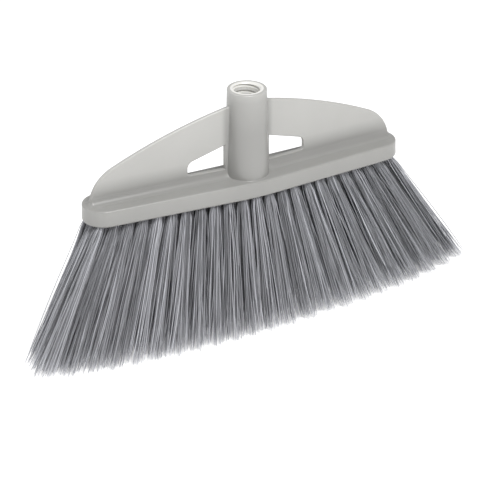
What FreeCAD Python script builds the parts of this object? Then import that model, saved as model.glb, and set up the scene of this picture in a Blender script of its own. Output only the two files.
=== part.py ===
import FreeCAD, Part
import math
import os
import Sketcher
from FreeCAD import Placement, Rotation, Vector

# A screw-on broom head: one moulding (bristle block, arched web with two openings, handle socket),
# ranks of flared bristle tufts, and the staple that anchors each tuft in its hole.
# Frame: origin under the middle of the head on the plane of the bristle tips, +Z up along the
# handle socket, +X along the block's length, -Y towards the front.

PARTS_DIR = "parts"
SHEET = "Dimensions"

# alias, value (mm, unless the meaning says otherwise), meaning
DIMENSIONS = [
    ("bristle_length", 107.0, "tip plane to the block's underside"),
    ("block_length", 276.6, "block, end to end at the rim"),
    ("front_depth", 21.5, "socket's axis to the front rim"),
    ("back_depth", 20.5, "socket's axis to the back rim"),
    ("sweep_back", 5.3, "how far the ends' centres lie behind the socket's axis"),
    ("block_height", 13.8, "underside to the flat top"),
    ("block_draft", 2.0, "mould draft of the block's sides, degrees"),
    ("end_radius", 17.65, "rounded ends, in plan"),
    ("bow_radius", 180.0, "gentle bend at the middle of the long sides, in plan"),
    ("top_round", 1.4, "rounding along the block's top edge"),
    ("rim_round", 2.0, "rounding along the block's lower rim"),
    ("web_thickness", 3.6, "upright web, front to back"),
    ("web_shoulder_x", 113.8, "where the web's long arch meets its tighter end arc"),
    ("web_shoulder_rise", 41.0, "height of that point above the underside"),
    ("web_root_x", 8.0, "inner end of the long arch, buried in the socket"),
    ("web_root_rise", 74.9, "height of the long arch's inner end above the underside"),
    ("web_arch_radius", 440.0, "long arch"),
    ("web_end_radius", 34.0, "tighter arc down to the foot"),
    ("web_foot_x", 133.2, "where the web lands on the block"),
    ("web_edge_round", 1.2, "rounding of the web's outer edge"),
    ("foot_blend", 6.0, "fillet where the web stands on the block"),
    ("side_blend", 0.9, "fillet round the socket, on the block and on the web"),
    ("opening_inner_x", 19.4, "opening's side next to the socket"),
    ("opening_outer_x", 51.3, "opening's far side"),
    ("opening_floor_rise", 20.9, "opening's lower edge at the socket, above the underside"),
    ("opening_floor_gain", 0.9, "how much the lower edge climbs towards the far side"),
    ("opening_roof_rise", 41.5, "opening's upper edge at the socket, above the underside"),
    ("opening_roof_drop", 9.6, "how much the upper edge falls towards the far side"),
    ("opening_roof_round", 6.0, "far upper corner"),
    ("opening_floor_round", 2.4, "far lower corner"),
    ("opening_edge_round", 0.9, "rounding of the openings' edges"),
    ("socket_rise", 85.6, "socket mouth above the underside"),
    ("mouth_radius", 15.5, "outside of the socket at its mouth"),
    ("base_radius", 17.6, "outside of the socket at the block's top"),
    ("lip_round", 1.0, "rounding of the mouth's outer edge"),
    ("bore_radius", 10.0, "handle thread, minor radius"),
    ("bore_depth", 62.0, "mouth to the bore's end"),
    ("bore_mouth_chamfer", 1.2, "lead-in at the mouth"),
    ("thread_pitch", 5.0, "handle thread"),
    ("thread_depth", 1.1, "handle thread, minor to major radius"),
    ("thread_height", 33.0, "threaded stretch, run out through the mouth"),
    ("tuft_pitch", 11.67, "hole to hole along a row"),
    ("tuft_radius", 3.0, "tuft where it sits in its hole"),
    ("tuft_hole_depth", 11.0, "blind hole above the underside"),
    ("row_half_depth_middle", 16.0, "outer row to the centre line at the middle, at the rim"),
    ("row_half_depth_end", 9.8, "outer row to the centre line at the last rank, at the rim"),
    ("tip_radius", 7.5, "spread of one tuft at the tips"),
    ("tip_spread", 1.53, "ratio of tip position to root position, along the block"),
    ("tip_half_depth", 40.0, "outer row to the middle row at the middle, at the tips"),
    ("tip_outline_reach", 0.93, "last rank's share of the half length of the tips' oval outline"),
    ("anchor_length", 6.6, "staple, across the hole and into its walls"),
    ("anchor_thickness", 0.4, "staple, flat wire"),
    ("anchor_height", 1.8, "staple, along the hole"),
    ("anchor_inset", 3.0, "top of the hole down to the staple's lower edge"),
]

RANKS_EACH_SIDE = 22  # ranks stand half a tuft pitch apart on each side of the middle one

doc = FreeCAD.newDocument("broom_head")
sheet = doc.addObject("Spreadsheet::Sheet", SHEET)
for line, (alias, value, meaning) in enumerate(DIMENSIONS, start=1):
    sheet.set(f"A{line}", meaning)
    sheet.set(f"B{line}", str(value))
    sheet.setAlias(f"B{line}", alias)
doc.recompute()


def dim(alias):
    """A driving dimension's present value, as a plain number."""
    return float(sheet.get(alias))


def bind(item, prop, formula, unit="mm"):
    """Bind a property to a formula of sheet aliases, written in braces."""
    for alias, _, _ in DIMENSIONS:
        formula = formula.replace("{" + alias + "}", f"{SHEET}.{alias}")
    item.setExpression(prop, f"({formula}) * 1 {unit}")


def add_sketch(body, name, plane_role):
    sketch = body.newObject("Sketcher::SketchObject", name)
    plane = next(f for f in body.Origin.OriginFeatures if f.Role == plane_role)
    sketch.AttachmentSupport = [(plane, "")]
    sketch.MapMode = "FlatFace"
    return sketch


def dimension(sketch, kind, places, value, formula):
    """A dimensional constraint whose value follows the sheet."""
    index = sketch.addConstraint(Sketcher.Constraint(kind, *places, value))
    bind(sketch, f"Constraints[{index}]", formula)


def point(x, y):
    return Vector(x, y, 0)


def segment(sketch, a, b):
    return sketch.addGeometry(Part.LineSegment(a, b), False)


def arc(sketch, centre, radius, start, end):
    circle = Part.Circle(centre, Vector(0, 0, 1), radius)
    return sketch.addGeometry(Part.ArcOfCircle(circle, start, end), False)


def edges_where(feature, test):
    """Names of the edges whose midpoint and bounding box pass a test."""
    names = []
    for index, edge in enumerate(feature.Shape.Edges, start=1):
        middle = edge.valueAt((edge.FirstParameter + edge.LastParameter) / 2)
        if test(middle, edge.BoundBox):
            names.append(f"Edge{index}")
    return names


def add_fillet(body, name, test, formula):
    base = body.Tip
    fillet = body.newObject("PartDesign::Fillet", name)
    fillet.Base = (base, edges_where(base, test))
    bind(fillet, "Radius", formula)
    doc.recompute()


UNDERSIDE = dim("bristle_length")
BLOCK_TOP = UNDERSIDE + dim("block_height")
MOUTH = UNDERSIDE + dim("socket_rise")
HALF_WEB = dim("web_thickness") / 2
END_X = dim("block_length") / 2 - dim("end_radius")
SWEEP = dim("sweep_back") / END_X  # slope, in plan, of each half of the swept centre line
NEAR = 0.01
SWEEP_FORMULA = "({sweep_back} / ({block_length} / 2 - {end_radius}))"


# ---- head moulding: block -------------------------------------------------------------------

def sketch_block_plan(body):
    """Swept plan: two round ends, set back a little, joined by straight sides that meet in the middle."""
    sketch = add_sketch(body, "BlockPlan", "XY_Plane")
    bind(sketch, "AttachmentOffset.Base.z", "{bristle_length}")
    end, set_back = dim("end_radius"), dim("sweep_back")
    front, back = -dim("front_depth"), dim("back_depth")

    def touch_angle(apex_y, side):
        """Angle, at the right end's centre, where the tangent from a middle corner touches."""
        away = math.hypot(END_X, apex_y - set_back)
        towards = math.atan2(apex_y - set_back, -END_X)
        return towards - side * math.acos(end / away)

    low = touch_angle(front, -1)
    high = touch_angle(back, 1)
    low_angle = math.atan2(math.sin(low), math.cos(low))
    high_angle = math.atan2(math.sin(high), math.cos(high))
    right = arc(sketch, point(END_X, set_back), end, low_angle, high_angle)
    left = arc(sketch, point(-END_X, set_back), end, math.pi - high_angle, math.pi - low_angle)

    def on_end(sign, angle):
        return point(sign * (END_X + end * math.cos(angle)), set_back + end * math.sin(angle))

    front_right = segment(sketch, point(0, front), on_end(1, low_angle))
    back_right = segment(sketch, on_end(1, high_angle), point(0, back))
    back_left = segment(sketch, point(0, back), on_end(-1, high_angle))
    front_left = segment(sketch, on_end(-1, low_angle), point(0, front))
    touches = [(front_right, 2, right, 1), (right, 2, back_right, 1),
               (back_left, 2, left, 1), (left, 2, front_left, 1)]
    for joint in touches:
        sketch.addConstraint(Sketcher.Constraint("Tangent", *joint))
    sketch.addConstraint(Sketcher.Constraint("Coincident", back_right, 2, back_left, 1))
    sketch.addConstraint(Sketcher.Constraint("Coincident", front_left, 2, front_right, 1))
    for index, sign in ((right, 1), (left, -1)):
        dimension(sketch, "Radius", (index,), end, "{end_radius}")
        dimension(sketch, "DistanceX", (-1, 1, index, 3), sign * END_X,
                  f"{sign} * ({{block_length}} / 2 - {{end_radius}})")
        dimension(sketch, "DistanceY", (-1, 1, index, 3), set_back, "{sweep_back}")
    for index, y, formula in ((front_right, front, "-{front_depth}"), (back_left, back, "{back_depth}")):
        sketch.addConstraint(Sketcher.Constraint("PointOnObject", index, 1, -2))
        dimension(sketch, "DistanceY", (-1, 1, index, 1), y, formula)
    return sketch


def on_block_top(box):
    return box.ZMin > BLOCK_TOP - NEAR and box.ZMax < BLOCK_TOP + NEAR


def beside_web(middle):
    """Whether a place on the block's top is on the outline of the web's foot."""
    across = middle.y - SWEEP * abs(middle.x)
    return abs(across) < dim("web_thickness") and abs(middle.x) < dim("web_foot_x") + HALF_WEB


def build_block(body):
    pad = body.newObject("PartDesign::Pad", "BlockPad")
    pad.Profile = sketch_block_plan(body)
    bind(pad, "Length", "{block_height}")
    bind(pad, "TaperAngle", "-{block_draft}", "deg")
    doc.recompute()

    def middle_corner(middle, box):
        return abs(middle.x) < NEAR and box.XLength < NEAR and box.ZMax < BLOCK_TOP + NEAR

    def top_edge(middle, box):
        return on_block_top(box) and not beside_web(middle)

    add_fillet(body, "BowRound", middle_corner, "{bow_radius}")
    add_fillet(body, "BlockTopRound", top_edge, "{top_round}")
    add_fillet(body, "BlockRimRound", lambda m, b: b.ZMax < UNDERSIDE + NEAR, "{rim_round}")


# ---- head moulding: arched web --------------------------------------------------------------

def circle_through(a, b, radius):
    """Centre, below the chord, of the circle of a given radius through two points."""
    middle = (a + b) * 0.5
    chord = b - a
    height = math.sqrt(radius ** 2 - (chord.Length / 2) ** 2)
    across = point(chord.y, -chord.x).normalize()
    return middle + across * height


def sketch_web(body):
    """Web outline: on each side a long arch and a tighter end arc, closed inside the block."""
    sketch = add_sketch(body, "WebOutline", "XZ_Plane")
    root = point(dim("web_root_x"), UNDERSIDE + dim("web_root_rise"))
    shoulder = point(dim("web_shoulder_x"), UNDERSIDE + dim("web_shoulder_rise"))
    foot = point(dim("web_foot_x"), BLOCK_TOP)
    sole = point(foot.x, UNDERSIDE + dim("block_height") / 2)

    def mirrored(p):
        return point(-p.x, p.y)

    def arch(a, b, radius):
        """Arc that runs clockwise from a down to b, and its mirror image."""
        centre = circle_through(a, b, radius)
        start = math.atan2(a.y - centre.y, a.x - centre.x)
        end = math.atan2(b.y - centre.y, b.x - centre.x)
        right = arc(sketch, centre, radius, end, start)
        left = arc(sketch, mirrored(centre), radius, math.pi - start, math.pi - end)
        return right, left

    long_right, long_left = arch(root, shoulder, dim("web_arch_radius"))
    end_right, end_left = arch(shoulder, foot, dim("web_end_radius"))
    bridge = segment(sketch, mirrored(root), root)
    drop_right = segment(sketch, foot, sole)
    base = segment(sketch, sole, mirrored(sole))
    drop_left = segment(sketch, mirrored(sole), mirrored(foot))
    joints = [
        (bridge, 2, long_right, 2), (long_right, 1, end_right, 2), (end_right, 1, drop_right, 1),
        (drop_right, 2, base, 1), (base, 2, drop_left, 1), (drop_left, 2, end_left, 2),
        (end_left, 1, long_left, 2), (long_left, 1, bridge, 1),
    ]
    for joint in joints:
        sketch.addConstraint(Sketcher.Constraint("Coincident", *joint))
    spots = {
        "root": (root, "{web_root_x}", "{bristle_length} + {web_root_rise}"),
        "shoulder": (shoulder, "{web_shoulder_x}", "{bristle_length} + {web_shoulder_rise}"),
        "foot": (foot, "{web_foot_x}", "{bristle_length} + {block_height}"),
    }
    # each spot is the start (1) or the end (2) of an arc, the other way round on the left
    right_side = (1, ((long_right, 2, "root"), (end_right, 2, "shoulder"), (end_right, 1, "foot")))
    left_side = (-1, ((long_left, 1, "root"), (end_left, 1, "shoulder"), (end_left, 2, "foot")))
    for sign, ends in (right_side, left_side):
        for index, end, name in ends:
            spot, x_formula, y_formula = spots[name]
            x_place, y_place = sign * spot.x, spot.y
            dimension(sketch, "DistanceX", (-1, 1, index, end), x_place, f"{sign} * {x_formula}")
            dimension(sketch, "DistanceY", (-1, 1, index, end), y_place, y_formula)
    for index in (long_right, long_left):
        dimension(sketch, "Radius", (index,), dim("web_arch_radius"), "{web_arch_radius}")
    for index in (end_right, end_left):
        dimension(sketch, "Radius", (index,), dim("web_end_radius"), "{web_end_radius}")
    sketch.addConstraint(Sketcher.Constraint("Horizontal", base))
    sketch.addConstraint(Sketcher.Constraint("Vertical", drop_right))
    sketch.addConstraint(Sketcher.Constraint("Vertical", drop_left))
    dimension(sketch, "DistanceY", (-1, 1, base, 1), sole.y, "{bristle_length} + {block_height} / 2")
    return sketch


def on_web_face(middle):
    """Whether a place lies on the front or the back face of the swept web."""
    across = middle.y - SWEEP * abs(middle.x)
    return abs(abs(across) * math.cos(math.atan(SWEEP)) - HALF_WEB) < NEAR


def trim_web(body, side, name):
    """Cut the blank back to one swept face of the web, in front (-1) or behind (1)."""
    sketch = add_sketch(body, f"{name}Plan", "XY_Plane")
    reach, reach_formula = dim("block_length"), "{block_length}"
    far, far_formula = side * dim("block_length"), f"{side} * {{block_length}}"
    half = HALF_WEB / math.cos(math.atan(SWEEP))
    half_formula = f"{{web_thickness}} / 2 * sqrt(1 + {SWEEP_FORMULA} ^ 2)"
    outer, outer_formula = side * half + SWEEP * reach, (
        f"{side} * {half_formula} + {SWEEP_FORMULA} * {{block_length}}")
    fixed_polygon(sketch, [
        (0.0, "0", side * half, f"{side} * {half_formula}"),
        (reach, reach_formula, outer, outer_formula),
        (reach, reach_formula, far, far_formula),
        (-reach, f"-{reach_formula}", far, far_formula),
        (-reach, f"-{reach_formula}", outer, outer_formula),
    ])
    pocket = body.newObject("PartDesign::Pocket", name)
    pocket.Profile = sketch
    pocket.Type = "ThroughAll"
    pocket.Midplane = True
    doc.recompute()


def build_web(body):
    """Thick arched blank, trimmed to a thin web whose halves sweep back from the socket."""
    pad = body.newObject("PartDesign::Pad", "WebBlank")
    pad.Profile = sketch_web(body)
    pad.Midplane = True
    bind(pad, "Length", "4 * {sweep_back} + {web_thickness}")
    doc.recompute()
    trim_web(body, -1, "WebFront")
    trim_web(body, 1, "WebBack")

    def outer_edge(middle, box):
        return on_web_face(middle) and middle.z > BLOCK_TOP + NEAR and box.XLength > NEAR

    add_fillet(body, "WebEdgeRound", outer_edge, "{web_edge_round}")


# ---- head moulding: handle socket -----------------------------------------------------------

def polygon(sketch, corners):
    """Closed chain of straight segments, joined end to end."""
    chain = [segment(sketch, a, b) for a, b in zip(corners, corners[1:] + corners[:1])]
    for first, second in zip(chain, chain[1:] + chain[:1]):
        sketch.addConstraint(Sketcher.Constraint("Coincident", first, 2, second, 1))
    return chain


def place_corner(sketch, line, x, x_formula, y, y_formula):
    """Fix the start of a segment by its two coordinates."""
    dimension(sketch, "DistanceX", (-1, 1, line, 1), x, x_formula)
    dimension(sketch, "DistanceY", (-1, 1, line, 1), y, y_formula)


def fixed_polygon(sketch, corners):
    """Polygon from (x, its formula, y, its formula) corners."""
    chain = polygon(sketch, [point(x, y) for x, _, y, _ in corners])
    for line, corner in zip(chain, corners):
        place_corner(sketch, line, *corner)


def z_axis(body):
    return (next(f for f in body.Origin.OriginFeatures if f.Role == "Z_Axis"), [""])


def build_socket(body):
    """Tapered tube, wider at its base, that stands on the block."""
    sketch = add_sketch(body, "SocketProfile", "XZ_Plane")
    low, low_formula = UNDERSIDE + dim("block_height") / 2, "{bristle_length} + {block_height} / 2"
    top, top_formula = MOUTH, "{bristle_length} + {socket_rise}"
    fixed_polygon(sketch, [
        (0.0, "0", low, low_formula),
        (dim("base_radius"), "{base_radius}", low, low_formula),
        (dim("base_radius"), "{base_radius}", BLOCK_TOP, "{bristle_length} + {block_height}"),
        (dim("mouth_radius"), "{mouth_radius}", top, top_formula),
        (0.0, "0", top, top_formula),
    ])
    revolution = body.newObject("PartDesign::Revolution", "Socket")
    revolution.Profile = sketch
    revolution.ReferenceAxis = z_axis(body)
    revolution.Angle = 360
    doc.recompute()
    add_fillet(body, "LipRound", lambda m, b: b.ZMin > MOUTH - NEAR, "{lip_round}")


def blend_web_foot(body):
    """Fillet all round the web where it stands on the block."""
    add_fillet(body, "FootBlend", lambda m, b: on_block_top(b) and beside_web(m), "{foot_blend}")


def blend_socket(body):
    """Fillet all round the socket where it stands on the block and meets the web."""
    base = body.Tip
    reach = dim("base_radius") + NEAR

    def is_tube(face):
        return isinstance(face.Surface, (Part.Cone, Part.Cylinder)) and all(
            math.hypot(v.X, v.Y) < reach for v in face.Vertexes)

    names = []
    for index, edge in enumerate(base.Shape.Edges, start=1):
        sides = [is_tube(face) for face in base.Shape.ancestorsOfType(edge, Part.Face)]
        below_lip = edge.BoundBox.ZMax < MOUTH - dim("lip_round") - NEAR
        if sides.count(True) == 1 and below_lip:
            names.append(f"Edge{index}")
    fillet = body.newObject("PartDesign::Fillet", "SocketBlend")
    fillet.Base = (base, names)
    bind(fillet, "Radius", "{side_blend}")
    doc.recompute()


# ---- head moulding: openings, bore and thread -----------------------------------------------

def cut_opening(body, sign, name):
    """One opening through the web; its far side is rounded, more at the top than at the bottom."""
    sketch = add_sketch(body, f"{name}Outline", "XZ_Plane")
    inner, outer = sign * dim("opening_inner_x"), sign * dim("opening_outer_x")
    floor, roof = UNDERSIDE + dim("opening_floor_rise"), UNDERSIDE + dim("opening_roof_rise")
    fixed_polygon(sketch, [
        (inner, f"{sign} * {{opening_inner_x}}", floor, "{bristle_length} + {opening_floor_rise}"),
        (outer, f"{sign} * {{opening_outer_x}}", floor + dim("opening_floor_gain"),
         "{bristle_length} + {opening_floor_rise} + {opening_floor_gain}"),
        (outer, f"{sign} * {{opening_outer_x}}", roof - dim("opening_roof_drop"),
         "{bristle_length} + {opening_roof_rise} - {opening_roof_drop}"),
        (inner, f"{sign} * {{opening_inner_x}}", roof, "{bristle_length} + {opening_roof_rise}"),
    ])
    volume_before = body.Shape.Volume
    pocket = body.newObject("PartDesign::Pocket", name)
    pocket.Profile = sketch
    pocket.Type = "ThroughAll"
    pocket.Midplane = True
    doc.recompute()
    assert pocket.Shape.Volume < volume_before, name

    def far_corner(middle, box):
        return abs(middle.x - outer) < NEAR and box.XLength < NEAR and box.YLength > HALF_WEB

    def upper_corner(middle, box):
        return far_corner(middle, box) and middle.z > roof - dim("opening_roof_drop") - NEAR

    def lower_corner(middle, box):
        return far_corner(middle, box) and middle.z < floor + dim("opening_floor_gain") + NEAR

    add_fillet(body, f"{name}RoofRound", upper_corner, "{opening_roof_round}")
    add_fillet(body, f"{name}FloorRound", lower_corner, "{opening_floor_round}")


def round_opening_edges(body):
    """Round the front and back edges of both openings, apart from their sides at the socket."""
    base = body.Tip
    inner, outer = dim("opening_inner_x"), dim("opening_outer_x")
    low, high = UNDERSIDE + dim("opening_floor_rise"), UNDERSIDE + dim("opening_roof_rise")

    def is_wall(face):
        """A face of the cut itself: it runs straight through the web, away from the socket."""
        box = face.BoundBox
        u_min, u_max, v_min, v_max = face.ParameterRange
        normal = face.normalAt((u_min + u_max) / 2, (v_min + v_max) / 2)
        inward, outward = sorted((abs(box.XMin), abs(box.XMax)))
        within_x = inward > inner - NEAR and outward < outer + NEAR
        within_z = box.ZMin > low - NEAR and box.ZMax < high + NEAR
        at_socket = box.XLength < NEAR and inward < inner + NEAR
        return within_x and within_z and abs(normal.y) < NEAR and not at_socket

    names = []
    for index, edge in enumerate(base.Shape.Edges, start=1):
        walls = [is_wall(face) for face in base.Shape.ancestorsOfType(edge, Part.Face)]
        middle = edge.valueAt((edge.FirstParameter + edge.LastParameter) / 2)
        if walls.count(True) == 1 and abs(middle.x) > inner + NEAR:
            names.append(f"Edge{index}")
    fillet = body.newObject("PartDesign::Fillet", "OpeningEdgeRound")
    fillet.Base = (base, names)
    bind(fillet, "Radius", "{opening_edge_round}")
    doc.recompute()


def cut_bore(body):
    """Blind bore with a lead-in, then the helical thread groove, cut outwards from the bore."""
    chamfer = dim("bore_mouth_chamfer")
    bore, top, end = dim("bore_radius"), MOUTH, MOUTH - dim("bore_depth")
    mouth_formula = "{bristle_length} + {socket_rise}"
    sketch = add_sketch(body, "BoreProfile", "XZ_Plane")
    fixed_polygon(sketch, [
        (0.0, "0", end, f"{mouth_formula} - {{bore_depth}}"),
        (bore, "{bore_radius}", end, f"{mouth_formula} - {{bore_depth}}"),
        (bore, "{bore_radius}", top - chamfer, f"{mouth_formula} - {{bore_mouth_chamfer}}"),
        (bore + chamfer, "{bore_radius} + {bore_mouth_chamfer}", top, mouth_formula),
        (0.0, "0", top, mouth_formula),
    ])
    volume_before = body.Shape.Volume
    groove = body.newObject("PartDesign::Groove", "Bore")
    groove.Profile = sketch
    groove.ReferenceAxis = z_axis(body)
    groove.Angle = 360
    doc.recompute()
    assert groove.Shape.Volume < volume_before, "Bore"

    # the groove's section: a trapezium, a little inside the bore's wall and narrower at its bottom
    depth, pitch = dim("thread_depth"), dim("thread_pitch")
    start = top - dim("thread_height")
    start_formula = f"{mouth_formula} - {{thread_height}}"
    overlap, mouth_share, bottom_share = 0.3, 0.24, 0.10
    profile = add_sketch(body, "ThreadProfile", "XZ_Plane")
    fixed_polygon(profile, [
        (bore - overlap, f"{{bore_radius}} - {overlap}", start - mouth_share * pitch,
         f"{start_formula} - {mouth_share} * {{thread_pitch}}"),
        (bore + depth, "{bore_radius} + {thread_depth}", start - bottom_share * pitch,
         f"{start_formula} - {bottom_share} * {{thread_pitch}}"),
        (bore + depth, "{bore_radius} + {thread_depth}", start + bottom_share * pitch,
         f"{start_formula} + {bottom_share} * {{thread_pitch}}"),
        (bore - overlap, f"{{bore_radius}} - {overlap}", start + mouth_share * pitch,
         f"{start_formula} + {mouth_share} * {{thread_pitch}}"),
    ])
    volume_before = body.Shape.Volume
    thread = body.newObject("PartDesign::SubtractiveHelix", "Thread")
    thread.Profile = profile
    thread.ReferenceAxis = z_axis(body)
    thread.Mode = "pitch-height-angle"
    bind(thread, "Pitch", "{thread_pitch}")
    bind(thread, "Height", "{thread_height}")
    doc.recompute()
    assert thread.Shape.Volume < volume_before, "Thread"


def build_head_body():
    body = doc.addObject("PartDesign::Body", "HeadBody")
    build_web(body)
    build_block(body)
    blend_web_foot(body)
    build_socket(body)
    blend_socket(body)
    cut_opening(body, 1, "RightOpening")
    cut_opening(body, -1, "LeftOpening")
    round_opening_edges(body)
    cut_bore(body)
    return body


# ---- bristle tufts and their anchors --------------------------------------------------------

def tuft_rows(rank):
    """Where the tufts of a rank stand across the block, as fractions of the outer row's place."""
    return (-1.0, 0.0, 1.0) if rank % 2 == 0 else (-0.5, 0.5)


def root_across(fraction, rank):
    """Formula of a tuft's place across the block at the rim: rows run along the swept centre line."""
    middle, end = "{row_half_depth_middle}", "{row_half_depth_end}"
    share = abs(rank) / RANKS_EACH_SIDE
    centre = f"{SWEEP_FORMULA} * {abs(rank)} / 2 * {{tuft_pitch}}"
    return f"{centre} + {fraction} * ({middle} + ({end} - {middle}) * {share})"


def tip_across(fraction, rank):
    """Formula of a tuft's place across the brush at the tips, whose outline is an oval."""
    share = abs(rank) / RANKS_EACH_SIDE
    return f"{fraction} * {{tip_half_depth}} * sqrt(1 - ({{tip_outline_reach}} * {share}) ^ 2)"


def add_circle(name, radius_formula, x_formula, y_formula, z_formula):
    circle = doc.addObject("Part::Circle", name)
    bind(circle, "Radius", radius_formula)
    bind(circle, "Placement.Base.x", x_formula)
    bind(circle, "Placement.Base.y", y_formula)
    bind(circle, "Placement.Base.z", z_formula)
    return circle


def lean(root_formula, tip_formula, rise_formula):
    """Formula of a tuft axis's place at a height above the underside, on the root-to-tip line."""
    share = f"({rise_formula}) / {{bristle_length}}"
    return f"({root_formula}) + (({root_formula}) - ({tip_formula})) * {share}"


def build_tuft(name, rank, fraction):
    """One tuft: straight in its hole along its lean, then widening down; its hole; its anchor."""
    root_x = f"{rank} / 2 * {{tuft_pitch}}"
    tip_x = f"{root_x} * {{tip_spread}}"
    root_y, tip_y = root_across(fraction, rank), tip_across(fraction, rank)
    depth = "{tuft_hole_depth}"
    crown = add_circle(f"{name}Crown", "{tuft_radius}", lean(root_x, tip_x, depth),
                       lean(root_y, tip_y, depth), f"{{bristle_length}} + {depth}")
    root = add_circle(f"{name}Root", "{tuft_radius}", root_x, root_y, "{bristle_length}")
    tip = add_circle(f"{name}Tip", "{tip_radius}", tip_x, tip_y, "0")
    loft = doc.addObject("Part::Loft", f"{name}Loft")
    loft.Sections = [crown, root, tip]
    loft.Solid = True
    loft.Ruled = True
    hole = doc.addObject("Part::Loft", f"{name}Hole")
    hole.Sections = [crown, root]
    hole.Solid = True
    hole.Ruled = True

    rise = "({tuft_hole_depth} - {anchor_inset})"
    anchor = doc.addObject("Part::Box", f"{name}Anchor")
    bind(anchor, "Length", "{anchor_length}")
    bind(anchor, "Width", "{anchor_thickness}")
    bind(anchor, "Height", "{anchor_height}")
    bind(anchor, "Placement.Base.x", f"{lean(root_x, tip_x, rise)} - {{anchor_length}} / 2")
    bind(anchor, "Placement.Base.y", f"{lean(root_y, tip_y, rise)} - {{anchor_thickness}} / 2")
    bind(anchor, "Placement.Base.z", f"{{bristle_length}} + {rise}")
    return loft, hole, anchor


def compound(name, members):
    group = doc.addObject("Part::Compound", name)
    group.Links = members
    return group


def cut(name, label, base, tool):
    result = doc.addObject("Part::Cut", name)
    result.Base = base
    result.Tool = tool
    result.Label = label
    return result


head_body = build_head_body()

ranks, holes, anchors = [], [], []
for number, rank in enumerate(range(-RANKS_EACH_SIDE, RANKS_EACH_SIDE + 1), start=1):
    built = [build_tuft(f"Rank{number}Tuft{place}", rank, fraction)
             for place, fraction in enumerate(tuft_rows(rank), start=1)]
    rank_lofts = [loft for loft, _, _ in built]
    rank_anchors = [anchor for _, _, anchor in built]
    ranks.append(cut(f"Rank{number}", f"tuft_rank_{number:02d}",
                     compound(f"Rank{number}Tufts", rank_lofts),
                     compound(f"Rank{number}Anchors", rank_anchors)))
    holes += [hole for _, hole, _ in built]
    anchors += rank_anchors

anchor_group = compound("Anchors", anchors)
anchor_group.Label = "tuft_anchors"
drilled = cut("Drilled", "drilled_block", head_body, compound("TuftHoles", holes))
head = cut("Head", "head_moulding", drilled, anchor_group)
doc.recompute()

sub_parts = [head, anchor_group] + ranks
for sub_part in sub_parts:
    sub_part.Placement = Placement(Vector(0, 0, 0), Rotation())
doc.recompute()

for item in doc.Objects:
    if "Invalid" in item.State or "Error" in item.State:
        raise RuntimeError(f"{item.Name} failed: {item.State}")
for sub_part in sub_parts:
    if sub_part.Shape.isNull() or not sub_part.Shape.isValid() or not sub_part.Shape.Solids:
        raise RuntimeError(f"{sub_part.Label} has no valid solid")

os.makedirs(PARTS_DIR, exist_ok=True)
for sub_part in sub_parts:
    sub_part.Shape.exportStep(os.path.join(PARTS_DIR, f"{sub_part.Label}.step"))
print(f"{len(sub_parts)} sub-parts, {len(anchors)} tufts, head {head.Shape.Volume / 1000:.0f} cm3")
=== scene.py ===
import math

import bpy
import numpy as np
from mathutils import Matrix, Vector


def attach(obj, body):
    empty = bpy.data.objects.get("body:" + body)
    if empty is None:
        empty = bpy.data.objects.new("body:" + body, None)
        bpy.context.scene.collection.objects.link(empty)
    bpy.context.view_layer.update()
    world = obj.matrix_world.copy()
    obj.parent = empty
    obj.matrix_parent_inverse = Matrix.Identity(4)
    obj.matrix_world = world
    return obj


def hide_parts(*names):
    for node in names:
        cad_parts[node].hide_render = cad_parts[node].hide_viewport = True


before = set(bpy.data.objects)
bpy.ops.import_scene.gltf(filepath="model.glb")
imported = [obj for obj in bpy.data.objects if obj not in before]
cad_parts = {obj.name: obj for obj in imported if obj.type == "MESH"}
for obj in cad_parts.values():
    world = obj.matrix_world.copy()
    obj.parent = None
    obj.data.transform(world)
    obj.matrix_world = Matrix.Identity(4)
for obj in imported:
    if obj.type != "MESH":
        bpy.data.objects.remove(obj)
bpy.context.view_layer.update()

scene = bpy.context.scene
scene.view_settings.view_transform = "Standard"

MM = 0.001

# ---- filaments, lengths in mm ---------------------------------------------------------------
# A tuft is a bundle of plastic filaments: tight in its hole, opening out towards the tips.

UNDERSIDE = 107.0
TUFT_PITCH = 11.67
RANKS_EACH_SIDE = 22
EVEN_ROWS = (-1.0, 0.0, 1.0)       # places of a rank's tufts across the block, from front to back
ODD_ROWS = (-0.5, 0.5)
ROW_HALF_DEPTH = (16.0, 9.8)       # outer row to the middle row at the rim: middle, end
SWEEP = 0.0439                     # slope of the block's centre line, back towards both ends
TIP_HALF_DEPTH = 40.0              # outer row at the tips, at the middle
TIP_REACH = 0.93                   # last rank's share of the half length of the tips' oval outline
TIP_SPREAD = (1.46, 1.54)          # tip to root position along the block: left, right
BACK_HOLD = 0.07                   # taken off that spread in the last row at the back, half in the next
TIP_SKEW = 0.035                   # Y that the tips gain for each mm of X
HOLE_RADIUS = 2.75
TUFT_ALONG = 9.0                   # half width of a tuft at its tips, along the block
TUFT_INWARD = 12.5                 # the same across the block, towards the middle row
TUFT_OUTWARD = 8.0                 # the same across the block, away from the middle row
TIP_GAP = 0.2                      # the lowest that a filament reaches above the floor

FILAMENTS = 62
FILAMENT_RADIUS = 0.37
THICKNESS_RANGE = (0.8, 1.2)
SIDES = 3
RING_PLACES = np.array([-0.05, 0.0, 0.03, 0.08, 0.16, 0.28, 0.42, 0.57, 0.72, 0.85, 0.94, 1.0])
TAPER = np.array([1.0] * 9 + [0.95, 0.8, 0.35])        # share of the radius left at each ring
PALE_END = np.array([0.0] * 9 + [0.04, 0.16, 0.34])    # shade added at each ring

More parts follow.
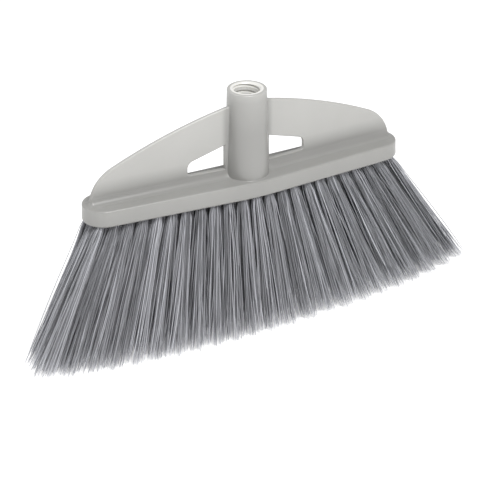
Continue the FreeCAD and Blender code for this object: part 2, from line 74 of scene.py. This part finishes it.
OPENING_POWER = 0.85               # below 1, a tuft opens a little faster near its hole
SWELL = 0.38                       # bulge of a tuft just out of its hole
SWELL_PLACE = 0.09
SWELL_WIDTH = 0.07
TIP_SCATTER = 0.9
STRAY_SHARE = 0.05
STRAY_SCATTER = 3.0
BOW = 1.1
BOW_FACTOR = 4                     # makes a bow reach its full size half-way along
WAVE = 0.35
WAVE_TURN = 7                      # radians of wave along a filament
WAVE_ONSET = 4                     # the wave is at its full size after 1/4 of the length
LENGTH_SCATTER = 0.006
SHORT_SHARE = 0.08
SHORT_BY = 0.05
SHADE_SHAPE = (1.7, 2.0)
SHADE_TOP = 0.75

rng = np.random.default_rng(20)


def tuft_places(rank):
    """Root centre, tip centre and place across the block of each tuft of a rank."""
    share = abs(rank) / RANKS_EACH_SIDE
    row = ROW_HALF_DEPTH[0] + (ROW_HALF_DEPTH[1] - ROW_HALF_DEPTH[0]) * share
    tip = TIP_HALF_DEPTH * math.sqrt(1 - (TIP_REACH * share) ** 2)
    x = rank / 2 * TUFT_PITCH
    places = []
    for fraction in EVEN_ROWS if rank % 2 == 0 else ODD_ROWS:
        tip_x = x * (TIP_SPREAD[int(rank > 0)] - BACK_HOLD * max(fraction, 0.0))
        root = (x, SWEEP * abs(x) + fraction * row)
        places.append((root, (tip_x, fraction * tip + TIP_SKEW * tip_x), fraction))
    return places


def disc(count):
    """Evenly spread points of a unit disc, turned by a random angle."""
    k = np.arange(count) + 0.5
    r = np.sqrt(k / count)
    a = k * math.pi * (3 - math.sqrt(5)) + rng.uniform(0, 2 * math.pi)
    return np.stack([r * np.cos(a), r * np.sin(a)], axis=1)


def filament_paths(root, tip, fraction):
    """Points (filament, ring, xyz) along the filaments of one tuft, from the hole to the tip."""
    n = FILAMENTS
    d = disc(n)
    away = np.sign(fraction) * np.sign(d[:, 1]) > 0
    tip_y = np.where(away, TUFT_OUTWARD, TUFT_INWARD)
    if fraction == 0.0:
        tip_y[:] = TUFT_INWARD
    tip_offset = np.stack([d[:, 0] * TUFT_ALONG, d[:, 1] * tip_y], axis=1)
    tip_offset += rng.normal(0, TIP_SCATTER, (n, 2))
    stray = rng.random(n) < STRAY_SHARE
    tip_offset[stray] += rng.normal(0, STRAY_SCATTER, (stray.sum(), 2))
    root_offset = d * HOLE_RADIUS
    root_centre, tip_centre = np.array(root), np.array(tip)
    bow = rng.normal(0, BOW, (n, 2))
    wave = rng.normal(0, WAVE, (n, 2))
    phase = rng.uniform(0, 2 * math.pi, n)
    uneven = rng.normal(0, LENGTH_SCATTER, n)
    short = rng.random(n) < SHORT_SHARE
    length = 1 + uneven - short * rng.uniform(0, SHORT_BY, n)
    points = np.zeros((n, len(RING_PLACES), 3))
    for i, t in enumerate(RING_PLACES):
        along = max(t, 0.0)
        open_out = along ** OPENING_POWER
        centre = root_centre + (tip_centre - root_centre) * t
        swell = 1 + SWELL * math.exp(-((t - SWELL_PLACE) / SWELL_WIDTH) ** 2) * (t > 0)
        offset = root_offset * swell * (1 - open_out) + tip_offset * open_out
        sway = along * (1 - along) * BOW_FACTOR
        ripple = wave * np.sin(phase + WAVE_TURN * t)[:, None] * min(1.0, along * WAVE_ONSET)
        offset = offset + bow * sway + ripple
        points[:, i, :2] = centre + offset
        points[:, i, 2] = UNDERSIDE * (1 - t * length)
    points[:, :, 2] = np.maximum(points[:, :, 2], TIP_GAP)
    return points


def tubes(paths, radii):
    """Vertices and quads of open-ended tubes along the paths, each turned by a random angle."""
    n, rings, _ = paths.shape
    angle = np.arange(SIDES) / SIDES * 2 * math.pi
    ring = np.stack([np.cos(angle), np.sin(angle), np.zeros(SIDES)], axis=1)
    twist = rng.uniform(0, 2 * math.pi, n)
    c, q = np.cos(twist), np.sin(twist)
    rx = ring[None, :, 0] * c[:, None] - ring[None, :, 1] * q[:, None]
    ry = ring[None, :, 0] * q[:, None] + ring[None, :, 1] * c[:, None]
    offset = np.stack([rx, ry, np.zeros_like(rx)], axis=2)
    verts = paths[:, :, None, :] + offset[:, None, :, :] * radii[:, :, None, None]
    verts = verts.reshape(-1, 3)
    base = np.arange(n)[:, None, None] * rings * SIDES
    i = np.arange(rings - 1)[None, :, None] * SIDES
    j = np.arange(SIDES)[None, None, :]
    k = (j + 1) % SIDES
    quads = np.stack([base + i + j, base + i + SIDES + j, base + i + SIDES + k, base + i + k], axis=3)
    return verts, quads.reshape(-1, 4)


def mesh_object(name, verts, quads, attributes):
    """Smooth mesh object from vertices in mm, quads and one number per vertex for each attribute."""
    mesh = bpy.data.meshes.new(name)
    mesh.vertices.add(len(verts))
    mesh.vertices.foreach_set("co", (verts * MM).astype(np.float32).ravel())
    mesh.loops.add(len(quads) * 4)
    mesh.loops.foreach_set("vertex_index", quads.astype(np.int32).ravel())
    mesh.polygons.add(len(quads))
    mesh.polygons.foreach_set("loop_start", np.arange(len(quads), dtype=np.int32) * 4)
    mesh.polygons.foreach_set("loop_total", np.full(len(quads), 4, dtype=np.int32))
    mesh.update(calc_edges=True)
    mesh.polygons.foreach_set("use_smooth", np.ones(len(quads), dtype=bool))
    for key, values in attributes.items():
        layer = mesh.attributes.new(key, "FLOAT", "POINT")
        layer.data.foreach_set("value", values.astype(np.float32))
    mesh.validate()
    obj = bpy.data.objects.new(name, mesh)
    scene.collection.objects.link(obj)
    return obj


# ---- materials ------------------------------------------------------------------------------
# The moulding's tone is painted by height and by distance from the socket's axis. The tones were
# adjusted until the render's brightness came near the photo's, so they hold some of its light and shade.

# Painted light: the thin web and the socket's top paler than the block, the inside of the bore paler
# still. Painted shade: a dark band along the web's foot.
# (share of the way up, brightness), over the range of heights below, in metres
WEB_LIGHT_AND_SHADE_TONES = [(0.0, 0.285), (0.16, 0.315), (0.20, 0.255), (0.42, 0.425), (1.0, 0.445)]
SOCKET_LIGHT_TONES = [(0.0, 0.29), (0.20, 0.29), (0.60, 0.30), (0.92, 0.35), (1.0, 0.42)]
BORE_LIGHT_TONES = [(0.0, 0.40), (0.5, 0.66), (1.0, 0.74)]
WEB_HEIGHTS = (0.107, 0.185)
SOCKET_HEIGHTS = (0.107, 0.193)
BORE_HEIGHTS = (0.130, 0.193)

# distances from the socket's axis, in metres, over which one tone gives way to the next
BORE_TO_SOCKET = (0.0125, 0.0135)
SOCKET_TO_WEB = (0.0178, 0.0235)

MOTTLE_SCALE = 26
MOTTLE_DETAIL = 4
MOTTLE_DARKEST = 0.95
GRAIN_SCALE = 900
GRAIN_DETAIL = 2
GRAIN_STRENGTH = 0.05
GRAIN_DEPTH = 0.0003


def new_material(name):
    """Material with nodes, its nodes and links, and its shader."""
    material = bpy.data.materials.new(name)
    material.use_nodes = True
    nodes, links = material.node_tree.nodes, material.node_tree.links
    return material, nodes, links, nodes["Principled BSDF"]


def grey(level):
    """Warm light grey of the moulding at a brightness."""
    return (level, level * 0.992, level * 0.955, 1)


def tone_ramp(nodes, links, value, limits, stops):
    """Colour ramp over a value's range, from (place in the range, brightness) stops."""
    spread = nodes.new("ShaderNodeMapRange")
    spread.inputs["From Min"].default_value = limits[0]
    spread.inputs["From Max"].default_value = limits[1]
    links.new(value, spread.inputs["Value"])
    ramp = nodes.new("ShaderNodeValToRGB")
    while len(ramp.color_ramp.elements) < len(stops):
        ramp.color_ramp.elements.new(0.5)
    for element, (place, level) in zip(ramp.color_ramp.elements, stops):
        element.position = place
        element.color = grey(level)
    links.new(spread.outputs["Result"], ramp.inputs["Fac"])
    return ramp.outputs["Color"]


def plastic_material():
    """Satin moulding: tones with painted light and shade for web, socket and bore, a faint mottle and a
    fine grain.
    """
    material, nodes, links, shader = new_material("moulding")
    place = nodes.new("ShaderNodeNewGeometry")
    axes = nodes.new("ShaderNodeSeparateXYZ")
    links.new(place.outputs["Position"], axes.inputs["Vector"])
    flat = nodes.new("ShaderNodeVectorMath")
    flat.operation = "MULTIPLY"
    flat.inputs[1].default_value = (1, 1, 0)
    links.new(place.outputs["Position"], flat.inputs[0])
    radius = nodes.new("ShaderNodeVectorMath")
    radius.operation = "LENGTH"
    links.new(flat.outputs["Vector"], radius.inputs[0])

    height = axes.outputs["Z"]
    web = tone_ramp(nodes, links, height, WEB_HEIGHTS, WEB_LIGHT_AND_SHADE_TONES)
    socket = tone_ramp(nodes, links, height, SOCKET_HEIGHTS, SOCKET_LIGHT_TONES)
    bore = tone_ramp(nodes, links, height, BORE_HEIGHTS, BORE_LIGHT_TONES)

    def blend(limits, first, second):
        """First colour inside the limits on the distance from the axis, second outside them."""
        step = nodes.new("ShaderNodeMapRange")
        step.interpolation_type = "SMOOTHSTEP"
        step.inputs["From Min"].default_value = limits[0]
        step.inputs["From Max"].default_value = limits[1]
        links.new(radius.outputs["Value"], step.inputs["Value"])
        mix = nodes.new("ShaderNodeMix")
        mix.data_type = "RGBA"
        links.new(step.outputs["Result"], mix.inputs["Factor"])
        links.new(first, mix.inputs["A"])
        links.new(second, mix.inputs["B"])
        return mix.outputs["Result"]

    tone = blend(BORE_TO_SOCKET, bore, blend(SOCKET_TO_WEB, socket, web))

    coords = nodes.new("ShaderNodeTexCoord")
    cloud = nodes.new("ShaderNodeTexNoise")
    cloud.inputs["Scale"].default_value = MOTTLE_SCALE
    cloud.inputs["Detail"].default_value = MOTTLE_DETAIL
    links.new(coords.outputs["Object"], cloud.inputs["Vector"])
    mottle = nodes.new("ShaderNodeValToRGB")
    mottle.color_ramp.elements[0].position = 0.3
    mottle.color_ramp.elements[0].color = (MOTTLE_DARKEST, MOTTLE_DARKEST, MOTTLE_DARKEST, 1)
    mottle.color_ramp.elements[1].position = 0.7
    mottle.color_ramp.elements[1].color = (1, 1, 1, 1)
    links.new(cloud.outputs["Fac"], mottle.inputs["Fac"])
    tint = nodes.new("ShaderNodeMix")
    tint.data_type = "RGBA"
    tint.blend_type = "MULTIPLY"
    tint.inputs["Factor"].default_value = 1.0
    links.new(tone, tint.inputs["A"])
    links.new(mottle.outputs["Color"], tint.inputs["B"])
    links.new(tint.outputs["Result"], shader.inputs["Base Color"])

    grain = nodes.new("ShaderNodeTexNoise")
    grain.inputs["Scale"].default_value = GRAIN_SCALE
    grain.inputs["Detail"].default_value = GRAIN_DETAIL
    links.new(coords.outputs["Object"], grain.inputs["Vector"])
    bump = nodes.new("ShaderNodeBump")
    bump.inputs["Strength"].default_value = GRAIN_STRENGTH
    bump.inputs["Distance"].default_value = GRAIN_DEPTH
    links.new(grain.outputs["Fac"], bump.inputs["Height"])
    links.new(bump.outputs["Normal"], shader.inputs["Normal"])
    shader.inputs["Roughness"].default_value = 0.30
    shader.inputs["Subsurface Weight"].default_value = 0.15
    shader.inputs["Subsurface Radius"].default_value = (1.0, 0.95, 0.8)
    shader.inputs["Subsurface Scale"].default_value = 0.003
    return material


def bristle_material():
    """Plastic filament: grey to pale by the mesh's shade, which is highest at the tips."""
    material, nodes, links, shader = new_material("bristle")
    shade = nodes.new("ShaderNodeAttribute")
    shade.attribute_name = "shade"
    ramp = nodes.new("ShaderNodeValToRGB")
    ramp.color_ramp.elements[0].color = (0.12, 0.121, 0.130, 1)
    ramp.color_ramp.elements[1].position = 0.75
    ramp.color_ramp.elements[1].color = (0.60, 0.607, 0.645, 1)
    # Paler towards the tips, where PALE_END raises the shade.
    pale_tip_colour = ramp.color_ramp.elements.new(1.0)
    pale_tip_colour.color = (0.9, 0.9, 0.92, 1)
    links.new(shade.outputs["Fac"], ramp.inputs["Fac"])
    links.new(ramp.outputs["Color"], shader.inputs["Base Color"])
    shader.inputs["Roughness"].default_value = 0.38
    return material


def steel_material():
    """Steel of the staples, the same all over."""
    material, _, _, shader = new_material("staple")
    shader.inputs["Base Color"].default_value = (0.6, 0.6, 0.6, 1)
    shader.inputs["Metallic"].default_value = 1
    shader.inputs["Roughness"].default_value = 0.3
    return material


moulding, bristle, staple = plastic_material(), bristle_material(), steel_material()


def paint(obj, material):
    obj.data.materials.clear()
    obj.data.materials.append(material)


paint(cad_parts["head_moulding"], moulding)
paint(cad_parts["tuft_anchors"], staple)

for number, rank in enumerate(range(-RANKS_EACH_SIDE, RANKS_EACH_SIDE + 1), start=1):
    paths, radii, shades = [], [], []
    for root, tip, fraction in tuft_places(rank):
        paths.append(filament_paths(root, tip, fraction))
        thick = FILAMENT_RADIUS * rng.uniform(*THICKNESS_RANGE, (FILAMENTS, 1))
        radii.append(thick * TAPER)
        shades.append(rng.beta(*SHADE_SHAPE, FILAMENTS) * SHADE_TOP)
    path, radius, shade = (np.concatenate(x) for x in (paths, radii, shades))
    verts, quads = tubes(path, radius)
    per_vertex = np.repeat((shade[:, None] + PALE_END[None, :]).ravel(), SIDES)
    piece = mesh_object(f"bristles_{number:02d}", verts, quads, {"shade": per_vertex})
    paint(piece, bristle)
    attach(piece, "root")
    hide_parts(f"tuft_rank_{number:02d}")

# ---- floor, light and camera ----------------------------------------------------------------

FLOOR_REACH = 4
FLOOR_GLOW = 0.3                   # helps the floor to render as plain white
WORLD_STRENGTH = 0.48
LAMP_AIM = (0, 0, 0.1)

floor_mesh = bpy.data.meshes.new("floor")
floor_corners = [(x * FLOOR_REACH, y * FLOOR_REACH, 0) for x, y in ((-1, -1), (1, -1), (1, 1), (-1, 1))]
floor_mesh.from_pydata(floor_corners, [], [(0, 1, 2, 3)])
floor = bpy.data.objects.new("floor", floor_mesh)
scene.collection.objects.link(floor)
floor_material, _, _, floor_shader = new_material("floor")
floor_shader.inputs["Base Color"].default_value = (0.9, 0.9, 0.9, 1)
floor_shader.inputs["Roughness"].default_value = 0.9
floor_shader.inputs["Emission Color"].default_value = (1, 1, 1, 1)
floor_shader.inputs["Emission Strength"].default_value = FLOOR_GLOW
paint(floor, floor_material)

world = bpy.data.worlds.new("studio")
scene.world = world
world.use_nodes = True
world.node_tree.nodes["Background"].inputs["Color"].default_value = (1, 1, 1, 1)
world.node_tree.nodes["Background"].inputs["Strength"].default_value = WORLD_STRENGTH


def softbox(name, place, size, power):
    """Square area light, aimed at LAMP_AIM."""
    light = bpy.data.lights.new(name, "AREA")
    light.shape = "RECTANGLE"
    light.size = size
    light.size_y = size
    light.energy = power
    lamp = bpy.data.objects.new(name, light)
    lamp.location = place
    lamp.rotation_euler = (Vector(LAMP_AIM) - Vector(place)).to_track_quat("-Z", "Y").to_euler()
    scene.collection.objects.link(lamp)


softbox("key", (-0.05, -0.85, 1.5), 0.7, 24)
softbox("side", (-1.3, 0.5, 0.9), 0.6, 4)

AZIMUTH = math.radians(-28.0)
ELEVATION = math.radians(28.4)
TARGET = Vector((-0.006, 0, 0.0612))
DISTANCE = 1.6
SENSOR_WIDTH = 36
LENS = 150.2

back = Vector((
    math.sin(AZIMUTH) * math.cos(ELEVATION),
    -math.cos(AZIMUTH) * math.cos(ELEVATION),
    math.sin(ELEVATION),
))
camera_data = bpy.data.cameras.new("camera")
camera_data.sensor_width = SENSOR_WIDTH
camera_data.lens = LENS
camera = bpy.data.objects.new("camera", camera_data)
camera.location = TARGET + back * DISTANCE
camera.rotation_euler = (-back).to_track_quat("-Z", "Y").to_euler()
scene.collection.objects.link(camera)
scene.camera = camera
